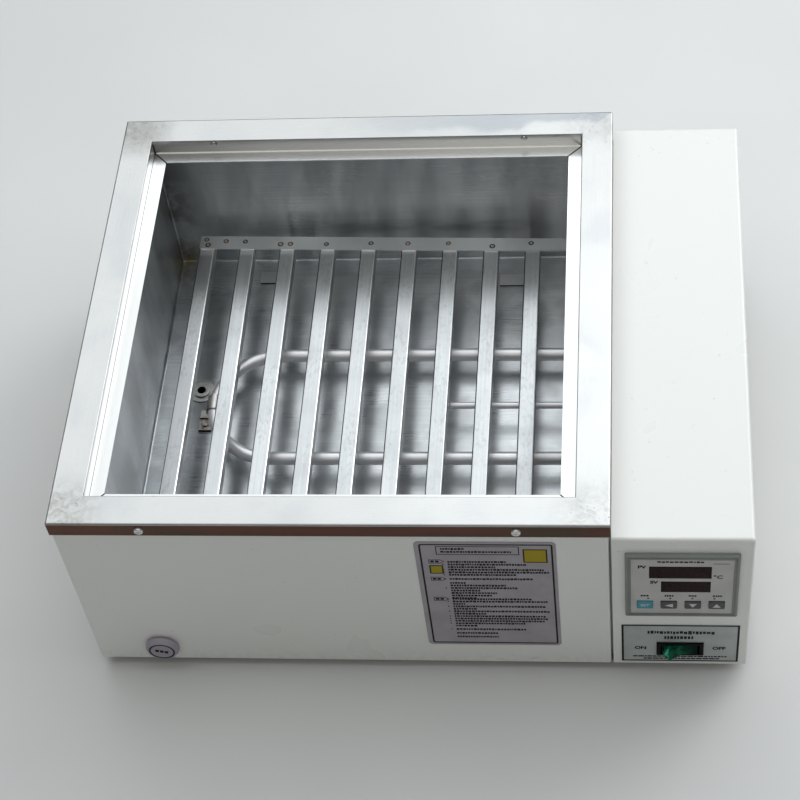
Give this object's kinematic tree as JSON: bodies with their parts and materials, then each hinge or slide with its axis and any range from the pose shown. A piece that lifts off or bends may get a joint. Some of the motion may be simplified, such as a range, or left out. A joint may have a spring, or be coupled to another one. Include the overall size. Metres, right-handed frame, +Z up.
{
  "type": "water bath",
  "caption": "Bench-top water bath with a square steel tank, slatted rack, tube heater, floor drain and a control box on the right.",
  "frame": {"origin": "under the middle of the overall box, on the surface that the feet stand on", "axes": "+Z up, +X to the right towards the control box, -Y out of the front"},
  "size_m": [0.4452, 0.3634, 0.177],
  "materials": {
    "paint": "satin off-white paint",
    "plain_steel": "zinc-plated sheet",
    "rim_steel": "polished, brushed",
    "tank_steel": "brushed",
    "rack_steel": "brushed",
    "heater_steel": "satin tube",
    "fitting_steel": "satin",
    "screw_steel": "bright plated",
    "silicone": "translucent white",
    "foot_rubber": "matte black",
    "mineral_wool": "fibrous",
    "drain_plastic": "lilac grey, soft",
    "socket_plastic": "plain",
    "bezel_plastic": "pale grey-green",
    "face_plastic": "fine texture",
    "display": "dark red filter",
    "lamp": "unlit lamp lens",
    "set_key": "blue-green key",
    "arrow_key": "dark grey key",
    "black_plastic": "black moulding",
    "green_plastic": "board and terminals",
    "rocker_green": "translucent green",
    "terminal_cream": "cream",
    "contact_brass": "plated",
    "nameplate_grey": "printed plate",
    "label_film": "printed film",
    "lead_red": "lead insulation",
    "lead_white": "lead insulation",
    "lead_black": "lead insulation"
  },
  "bodies": {
    "bath": {"outer_casing": "paint", "base_plate": "plain_steel", "base_screws": "screw_steel", "feet": "foot_rubber", "foot_screws": "screw_steel", "insulation_walls": "mineral_wool", "insulation_floor": "mineral_wool", "inner_tank": "tank_steel", "rim_frame": "rim_steel", "rim_screws": "screw_steel", "rim_rivets": "fitting_steel", "heater_element": "heater_steel", "heater_nuts": "fitting_steel", "heater_seals": "silicone", "heater_clip": "fitting_steel", "clip_rivet": "fitting_steel", "temperature_probe": "heater_steel", "probe_gland": "fitting_steel", "drain_fitting": "fitting_steel", "drain_seal": "silicone", "drain_nut": "socket_plastic", "drain_hose": "silicone", "drain_outlet": "socket_plastic", "outlet_nut": "socket_plastic", "control_box_cover": "paint", "cover_screws": "screw_steel", "partition_plate": "plain_steel", "nameplate": "nameplate_grey", "front_label": "label_film", "controller_bezel": "bezel_plastic", "controller_face": "face_plastic", "pv_window": "display", "sv_window": "display", "indicator_lamps": "lamp", "controller_housing": "black_plastic", "controller_board": "green_plastic", "controller_clamp": "black_plastic", "controller_terminals": "green_plastic", "switch_body": "black_plastic", "switch_terminals": "contact_brass", "relay": "black_plastic", "relay_screws": "screw_steel", "terminal_block": "terminal_cream", "mains_inlet": "black_plastic", "inlet_pins": "contact_brass", "inlet_screws": "screw_steel", "earth_stud": "contact_brass", "heater_leads": "lead_red", "probe_lead": "lead_white", "mains_leads": "lead_black"},
    "rack": {"rack_slats": "rack_steel", "rack_bars": "rack_steel", "rack_legs": "rack_steel"},
    "plug": {"drain_plug": "drain_plastic"},
    "rocker_switch": {"rocker": "rocker_green"},
    "set_button": {"key_set": "set_key"},
    "shift_button": {"key_shift": "arrow_key"},
    "down_button": {"key_down": "arrow_key"},
    "up_button": {"key_up": "arrow_key"}
  },
  "joints": [
    {"name": "rack_lift", "type": "slide", "parent": "bath", "child": "rack", "axis": [-0.1191, 0, 0.9929], "range_m": [0, 0.15]},
    {"name": "plug_pull", "type": "slide", "parent": "bath", "child": "plug", "axis": [0, -1, 0], "range_m": [0, 0.03]},
    {"name": "rocker_tilt", "type": "hinge", "parent": "bath", "child": "rocker_switch", "pos_m": [0.1767, -0.17123, 0.0298], "axis": [0, 0, -1], "range_deg": [0, 30]},
    {"name": "set_press", "type": "slide", "parent": "bath", "child": "set_button", "axis": [0, 1, 0], "range_m": [0, 0.0008], "stiffness_N_per_m": 800},
    {"name": "shift_press", "type": "slide", "parent": "bath", "child": "shift_button", "axis": [0, 1, 0], "range_m": [0, 0.0008], "stiffness_N_per_m": 800},
    {"name": "down_press", "type": "slide", "parent": "bath", "child": "down_button", "axis": [0, 1, 0], "range_m": [0, 0.0008], "stiffness_N_per_m": 800},
    {"name": "up_press", "type": "slide", "parent": "bath", "child": "up_button", "axis": [0, 1, 0], "range_m": [0, 0.0008], "stiffness_N_per_m": 800}
  ]
}
